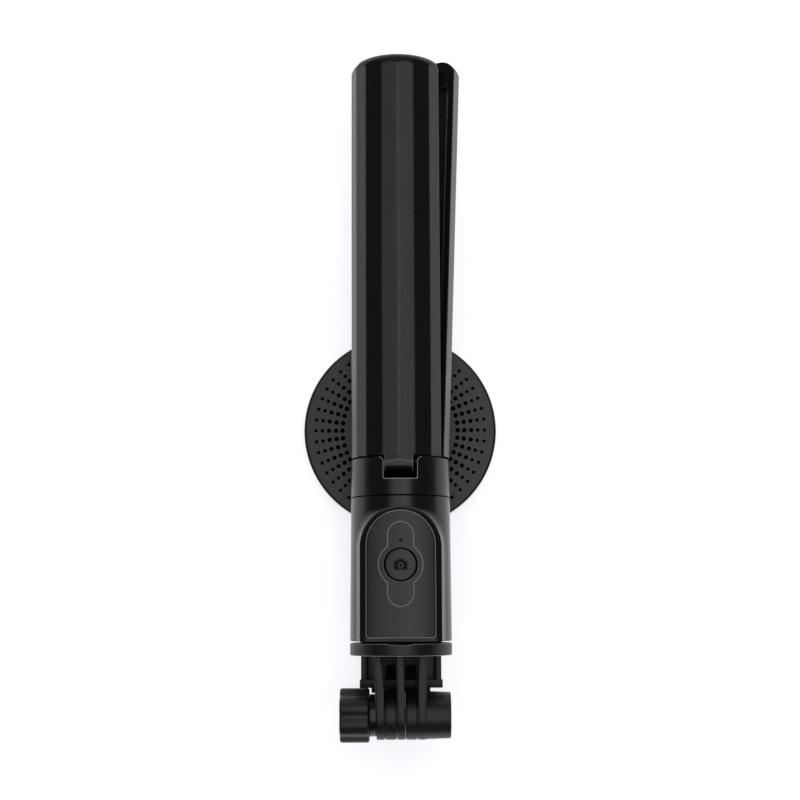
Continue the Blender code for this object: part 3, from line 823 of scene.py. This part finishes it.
def iconShape():
    # a plain camera pictogram: a rounded body, a finder bump and a lens ring
    middle = remote["buttonY"] - 0.15
    half, bottom, shoulder = icon["half"], middle - icon["height"], middle + icon["height"] - 0.2
    crest = middle + icon["height"] + icon["finderRise"]
    outline = [(-half, bottom), (half, bottom), (half, shoulder), (icon["finderFoot"], shoulder),
               (icon["finderTop"], crest), (-icon["finderTop"], crest), (-icon["finderFoot"], shoulder),
               (-half, shoulder)]
    lens = list(reversed(arc(0, middle - 0.1, icon["lens"], 0, 350, 35)))
    top = remote["face"] - 0.1
    sheet = prism(softened(outline, 0.4), top - icon["ink"], top, holes=[lens])
    dot = prism(arc(0, middle - 0.1, icon["dot"], 0, 345, 23), top - icon["ink"], top)
    return joined(sheet, dot)


show("remote_shell", coverShape(), "remote", "satin_black", faceFinish, ["remote_cover"],
     further=[paintedHighlightFinish])
show("remote_back_shell", trayShape(), "remote", "satin_black", nodes=["remote_tray"])
show("button_cap", buttonShape(), "button", "satin_black", faceFinish, ["shutter_button"])
show("button_icon", iconShape(), "button", "satin_black", inkFinish)
print("remote made")

# head with its three fingers and the nut boss

head = {"start": -45.3, "end": -49.1, "radius": 15.95, "pivotY": -67.6, "fingerRound": 7.5,
        "fingers": ((-7.7, -5.2), (-1.2, 1.2), (5.2, 7.7)), "screw": 2.7, "lean": 0.009, "shear": -0.035,
        "socket": 4.95, "socketFloor": 10.5, "nut": 4.6, "nutEnds": (10.8, 14.6),
        "bossEnds": (6.9, 15.4), "bossRadii": (7.35, 7.1), "pipeSocket": 5.05}


def fingerOutline():
    y, r = head["pivotY"], head["fingerRound"]
    return [(head["end"] + 0.5, -r), (y + r, -r), *arc(y, 0, r, 270, 90, 40), (y + r, r),
            (head["end"] + 0.5, r)]


def hexOutline(radius):
    turns = [radians(60 * i) for i in range(6)]
    return [(head["pivotY"] + radius * cos(turn), radius * sin(turn)) for turn in turns]


def headShape():
    # above the pivot the fingers lean together by lean, and all three to one side by shear
    flange = lathe(softened([(0, head["end"]), (head["radius"], head["end"]),
                             (head["radius"], head["start"]), (0, head["start"])], 0.3, closed=False),
                   segments=144)
    scoop = prism([(-45.0, 14.6), (-46.25, 16.6), (-45.0, 18)], -7.4, 7.4, plane="YZ")
    wide, low, high = head["pipeSocket"], head["end"] + 1.3, head["start"] + 1
    socket = lathe([(0, high), (wide, high), (wide, low), (0, low)])
    # the flange's bevel faces take a painted highlight
    flange = eased(carved(flange, scoop, socket), 0.16, 30, lit=True)
    bore = lathe([(0, -12), (head["screw"], -12), (head["screw"], 16), (0, 16)], "X", 48,
                 (0, head["pivotY"], 0))
    fingers = []
    for low, high in head["fingers"]:
        finger = prism(fingerOutline(), low, high, 0.3, "YZ", rings=3)
        middle = (low + high) / 2
        for point in finger.vertices:
            beyond = max(point.co.y - head["pivotY"] - head["fingerRound"], 0)
            point.co.x += (middle * head["lean"] + head["shear"]) * beyond
        fingers.append(carved(finger, bore))
    low, high = head["bossEnds"]
    boss = lathe(softened([(0, high), (head["bossRadii"][1], high), (head["bossRadii"][0], low), (0, low)],
                          0.45, closed=False), "X", 96, (0, head["pivotY"], 0))
    socket = prism(hexOutline(head["socket"]), head["socketFloor"], 16, plane="YZ")
    boss = eased(carved(boss, socket, bore), 0.12, 50)
    return joined(flange, boss, *fingers)


def nutShape():
    bore = list(reversed(arc(head["pivotY"], 0, head["screw"], 0, 352, 44)))
    return prism(softened(hexOutline(head["nut"]), 0.15), *head["nutEnds"], 0.25, "YZ", [bore])


show("head_casting", headShape(), "head", "grained_black", nodes=["head_flange"], further=[paintedHighlightFinish])
show("hex_nut", nutShape(), "head", "steel", nodes=["lock_nut"])

# clamp screw, star knob and washer

knob = {"outer": -19.1, "inner": -9.9, "radius": 8.35, "groove": 1.1, "lobes": 6, "points": 20,
        "recess": 4.5, "recessDepth": 3.2}


def knobShape():
    outline = []
    count = knob["lobes"] * knob["points"]
    for i in range(count):
        turn = 2 * pi * i / count
        reach = knob["radius"] - knob["groove"] * ((1 + cos(knob["lobes"] * turn)) / 2) ** 2
        outline.append((head["pivotY"] + reach * sin(turn), reach * cos(turn)))
    outline.reverse()
    star = prism(outline, knob["outer"], knob["inner"], 0.7, "YZ", rings=5)
    wide, low, high = knob["recess"], knob["outer"] - 1, knob["outer"] + knob["recessDepth"]
    recess = lathe([(0, low), (wide, low), (wide, high), (0, high)], "X", 64, (0, head["pivotY"], 0))
    bore = lathe([(0, -18), (head["screw"], -18), (head["screw"], -9), (0, -9)], "X", 48,
                 (0, head["pivotY"], 0))
    return eased(carved(star, recess, bore), 0.15, 60)


def screwShape():
    # the thread is a row of rings
    r = head["screw"] - gap
    profile = [(0, 13.6), (r - 0.4, 13.6), (r, 13.2)]
    turns, pitch, depth = 34, 0.8, 0.28
    for i in range(turns):
        x = 12.8 - i * pitch
        profile += [(r, x), (r - depth, x - pitch / 2)]
    profile += [(r, -15.0), (r, -16.2), (4.2, -16.2), (4.2, -18.2), (0, -18.2)]
    return lathe(softened(profile, 0.12, closed=False, steps=1), "X", 48, (0, head["pivotY"], 0))


show("knob_star", knobShape(), "clamp", "satin_black", looks["grained_black"], ["thumb_knob"])
show("clamp_bolt", screwShape(), "clamp", "steel", nodes=["clamp_screw"])
washer = {"bore": 2.7, "radius": 6.5, "ends": (-9.8, -7.8)}
washerProfile = softened([(washer["bore"], washer["ends"][0]), (washer["radius"], washer["ends"][0]),
                          (washer["radius"], washer["ends"][1]), (washer["bore"], washer["ends"][1])], 0.25)
show("clamp_collar", lathe(washerProfile, "X", 72, (0, head["pivotY"], 0), ring=True), "pivot_washer",
     "steel", looks["satin_black"], ["knob_washer"])
print("head and clamp made")

# phone arm

arm = {"half": 12.9, "back": -19.7, "front": -16.6, "start": -59.8, "rimInner": 10.9, "rimTop": -13.2,
       "rimEnd": 8.0, "footHalf": 13.3, "footLength": 2.4, "skirtLength": 1.9,
       "fingers": ((-4.85, -1.55), (1.55, 4.85)), "shoulder": 7.25, "shoulderProud": 0.3,
       "knuckle": 6.4, "studHead": 4.5, "studBore": 2.8, "washerRing": (4.0, 8.3)}


def armShape():
    y, r = head["pivotY"], head["fingerRound"]
    blade = [(arm["half"], arm["start"]), *arc(0, plateY, arm["half"], 0, 180, 48),
             (-arm["half"], arm["start"])]
    blade = prism(blade, arm["back"], arm["front"], 0.35, rings=3)
    pieces = []
    inner, outer = arm["rimInner"], arm["half"] - 0.02
    for side in (-1, 1):
        rim = [(side * inner, arm["start"] + 0.5), (side * outer, arm["start"] + 0.5),
               (side * outer, arm["rimEnd"]), (side * inner, arm["rimEnd"])]
        if side < 0:
            rim.reverse()
        pieces.append(prism(softened(rim, 0.8), arm["front"] - 1, arm["rimTop"], 0.35, rings=3))
    wide = arm["footHalf"]
    foot = prism(softened([(arm["back"] + 0.3, -wide), (arm["rimTop"] + 0.2, -wide),
                           (arm["rimTop"] + 0.2, wide), (arm["back"] + 0.3, wide)], 0.2),
                 arm["start"] - 0.1, arm["start"] + arm["footLength"])
    foot = moved(foot, Matrix(((0, 1, 0, 0), (0, 0, 1, 0), (1, 0, 0, 0), (0, 0, 0, 1))))
    pieces.append(eased(cleaned(foot), 0.5, 40, 3))
    low, high = arm["start"] - arm["skirtLength"], arm["start"] + 0.6
    skirt = [(-9.6, low), (9.4, low), (9.4, high), (-9.6, high)]
    pieces.append(prism(softened(skirt, 0.4), arm["back"] + 0.5, arm["front"] - 0.6, 0.3))
    knuckleY, knuckleZ = y + 2.0, arm["back"] + 6.5
    outline = [(y + r, 0), *arc(y, 0, r, 0, 180, 40)[1:],
               *arc(knuckleY, knuckleZ, arm["knuckle"], 180, 270, 12),
               (arm["start"] + 8, arm["back"] + 0.2), (arm["start"] + 8, arm["front"] - 0.4),
               (y + r, arm["front"] + 3)]
    bore = lathe([(0, -6), (head["screw"], -6), (head["screw"], 6), (0, 6)], "X", 48, (0, y, 0))
    for low, high in arm["fingers"]:
        pieces.append(carved(prism(outline, low, high, 0.35, "YZ", rings=3), bore))
        low, high = low - arm["shoulderProud"], high + arm["shoulderProud"]
        shoulder = [(2.9, low), (arm["shoulder"], low), (arm["shoulder"], high), (2.9, high)]
        pieces.append(lathe(softened(shoulder, 0.1), "X", 72, (0, y, 0), ring=True))
    centre = (0, plateY, 0)
    wide, low, high = arm["studHead"], arm["front"] - 1.6, arm["front"] + 1
    studPocket = lathe([(0, low), (wide, low), (wide, high), (0, high)], "Z", 64, centre)
    wide, low, high = arm["studBore"], arm["back"] - 1, arm["front"]
    studBore = lathe([(0, low), (wide, low), (wide, high), (0, high)], "Z", 48, centre)
    near, wide = arm["washerRing"]
    high = arm["back"] + 0.6
    washerPocket = lathe([(near, low), (wide, low), (wide, high), (near, high)], "Z", 72, centre, ring=True)
    blade = carved(blade, studPocket, studBore, washerPocket)
    return joined(blade, *pieces)


show("arm_blade", armShape(), "arm", "grained_black", nodes=["phone_arm"])
print("arm made")

# magnetic phone plate

disc = {"radius": 31.75, "depth": 8.0, "edge": 0.9, "rim": 1.8, "hub": 2.8, "rows": 48, "holeDepth": 1.1,
        "rings": ((27.9, 0.58), (25.7, 0.6), (23.5, 0.74), (21.2, 0.78), (19.05, 0.8))}


def discZ(height):
    return floorZ + height


def coverPlateShape():
    # a perforated sheet over a solid backing, inside a rounded rim; the hole walls and the backing take a
    # near-black painted shade so the holes look dark
    top = discZ(disc["depth"])
    holes = []
    for row in range(disc["rows"]):
        turn = 2 * pi * row / disc["rows"]
        for reach, size in disc["rings"]:
            x, y = reach * cos(turn), plateY + reach * sin(turn)
            holes.append(list(reversed(arc(x, y, size, 0, 337.5, 15))))
    flat = disc["radius"] - disc["edge"]
    bore = list(reversed(arc(0, plateY, disc["hub"], 0, 350, 35)))
    sheet = prism(arc(0, plateY, flat, 0, 357.5, 143), top - disc["holeDepth"], top, 0.0,
                  holes=[bore, *holes])
    marked(sheet, lambda face: abs(face.normal.z) < 0.3)
    backing = lathe([(disc["hub"], top - 1.5), (flat, top - 1.5), (flat, top - disc["holeDepth"] + 0.01),
                     (disc["hub"], top - disc["holeDepth"] + 0.01)], "Z", 96, (0, plateY, 0), ring=True)
    marked(backing, lambda face: True)
    r, edge = disc["radius"], disc["edge"]
    rim = [(flat, top)] + [(r - edge + edge * sin(a), top - edge + edge * cos(a))
                           for a in [radians(90 * i / 8) for i in range(1, 9)]]
    rim += [(r, discZ(1.3)), (r - 0.15, discZ(0.9)), (r - 0.5, discZ(0.7)), (r - disc["rim"], discZ(0.7)),
            (r - disc["rim"], top - 1.5), (flat - 0.5, top - 1.5), (flat - 0.5, top - 0.3)]
    rim = lathe(rim, "Z", 192, (0, plateY, 0), ring=True)
    return joined(sheet, backing, rim)


def padShape():
    profile = [(0, discZ(1.2)), (29.4, discZ(1.2)), (29.4, discZ(0.35)), (29.0, discZ(0)), (0, discZ(0))]
    return lathe(softened(profile, 0.2, closed=False), "Z", 144, (0, plateY, 0))


show("plate_back_cover", coverPlateShape(), "plate", "satin_black", nodes=["plate_cover"],
     further=[paintedShadeFinish])
show("plate_face_pad", padShape(), "plate", "rubber", nodes=["phone_pad"])
print("plate made")

# telescopic pole

pole = {"radius": 9.0, "wall": 0.5, "step": 0.85, "sections": 5}


def tubeShape(node, radius):
    low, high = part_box(node)
    ends = [(value - seamY) * perMetre for value in (low[1], high[1])]
    profile = [(radius - pole["wall"], ends[0]), (radius, ends[0]), (radius, ends[1]),
               (radius - pole["wall"], ends[1])]
    return lathe(softened(profile, 0.12), segments=96, ring=True)


show("fixed_tube", tubeShape("outer_tube", pole["radius"]), "handle", "black_tube", nodes=["outer_tube"])
for number in range(1, pole["sections"] + 1):
    node = f"pole_section_{number}"
    carrier = f"pole_{number}" if number < pole["sections"] else "head"
    show(f"pole_tube_{number}", tubeShape(node, pole["radius"] - pole["step"] * number), carrier,
         "black_tube", nodes=[node])
print("pole made")

# table, light and camera

studio = {"white": 0.8, "glow": 0.76, "tint": (0.95, 0.965, 1.0), "size": 6.0, "tableDrop": 0.0001,
          "ambient": 0.07, "backdrop": 0.95, "boxAside": 0.27, "boxHeight": 1.3, "boxSize": (0.5, 1.6),
          "boxLeft": 3.0, "boxRight": 4.2,
          "endPlace": (0.0, 0.85, 0.36), "endAim": (0.0, 0.0, 0.03), "endSize": (0.9, 0.3), "endStrip": 1.6,
          "endTint": (0.93, 0.95, 1.0)}


def floorMesh():
    half, low = studio["size"], -studio["tableDrop"]
    return newMesh([(-half, -half, low), (half, -half, low), (half, half, low), (-half, half, low)],
                   [(0, 1, 2, 3)])


def tableFinish():
    finish = Finish("paleTable")
    cloud = finish.noise(3, 2)
    colour = finish.mix(cloud, (studio["white"],) * 3, (studio["white"] * 0.97,) * 3)
    return finish.surface(colour=colour, roughness=0.9, specular=0.1, emission=studio["tint"],
                          emissionStrength=studio["glow"])


table = bpy.data.objects.new("table", floorMesh())
table.data.materials.append(tableFinish())
bpy.context.scene.collection.objects.link(table)


def areaLight(name, place, aim, size, watts, colour=(1.0, 1.0, 1.0)):
    lamp = bpy.data.lights.new(name, "AREA")
    lamp.shape = "RECTANGLE"
    lamp.size, lamp.size_y = size
    lamp.energy = watts
    lamp.color = colour
    holder = bpy.data.objects.new(name, lamp)
    holder.location = place
    holder.rotation_euler = (Vector(aim) - Vector(place)).to_track_quat("-Z", "Y").to_euler()
    bpy.context.scene.collection.objects.link(holder)


aside, height = studio["boxAside"], studio["boxHeight"]
areaLight("box_left", (-aside, 0.0, height), (-aside, 0.0, 0), studio["boxSize"], studio["boxLeft"])
areaLight("box_right", (aside, 0.0, height), (aside, 0.0, 0), studio["boxSize"], studio["boxRight"])
areaLight("end_strip", studio["endPlace"], studio["endAim"], studio["endSize"], studio["endStrip"],
          studio["endTint"])


def addWorld():
    # dim white light all round, and a bright white where the camera sees past the table
    world = bpy.data.worlds.new("studio")
    world.use_nodes = True
    bpy.context.scene.world = world
    nodes, links = world.node_tree.nodes, world.node_tree.links
    lit = nodes["Background"]
    seen = nodes.new("ShaderNodeBackground")
    for node, strength in ((lit, studio["ambient"]), (seen, studio["backdrop"])):
        node.inputs["Color"].default_value = (1, 1, 1, 1)
        node.inputs["Strength"].default_value = strength
    path = nodes.new("ShaderNodeLightPath")
    blend = nodes.new("ShaderNodeMixShader")
    links.new(path.outputs["Is Camera Ray"], blend.inputs["Fac"])
    links.new(lit.outputs["Background"], blend.inputs[1])
    links.new(seen.outputs["Background"], blend.inputs[2])
    links.new(blend.outputs["Shader"], nodes["World Output"].inputs["Surface"])


addWorld()
bpy.context.scene.view_settings.view_transform = "Standard"

view = {"place": (0, -33.4, 506.5), "pitch": 7.28, "roll": -0.25, "lens": 72}


def addCamera():
    pitch, roll = radians(view["pitch"]), radians(view["roll"])
    ahead = Vector((0, sin(pitch), -cos(pitch)))
    right = Vector((1, 0, 0))
    up = right.cross(ahead)
    turnedRight = right * cos(roll) + up * sin(roll)
    turnedUp = up * cos(roll) - right * sin(roll)
    data = bpy.data.cameras.new("camera")
    data.lens = view["lens"]
    data.sensor_width = 36
    data.clip_start = 0.01
    camera = bpy.data.objects.new("camera", data)
    facing = Matrix((turnedRight, turnedUp, -ahead)).transposed().to_4x4()
    camera.matrix_world = Matrix.Translation(stickPlace @ Vector(view["place"])) @ facing
    bpy.context.scene.collection.objects.link(camera)
    bpy.context.scene.camera = camera


addCamera()
print("studio made")
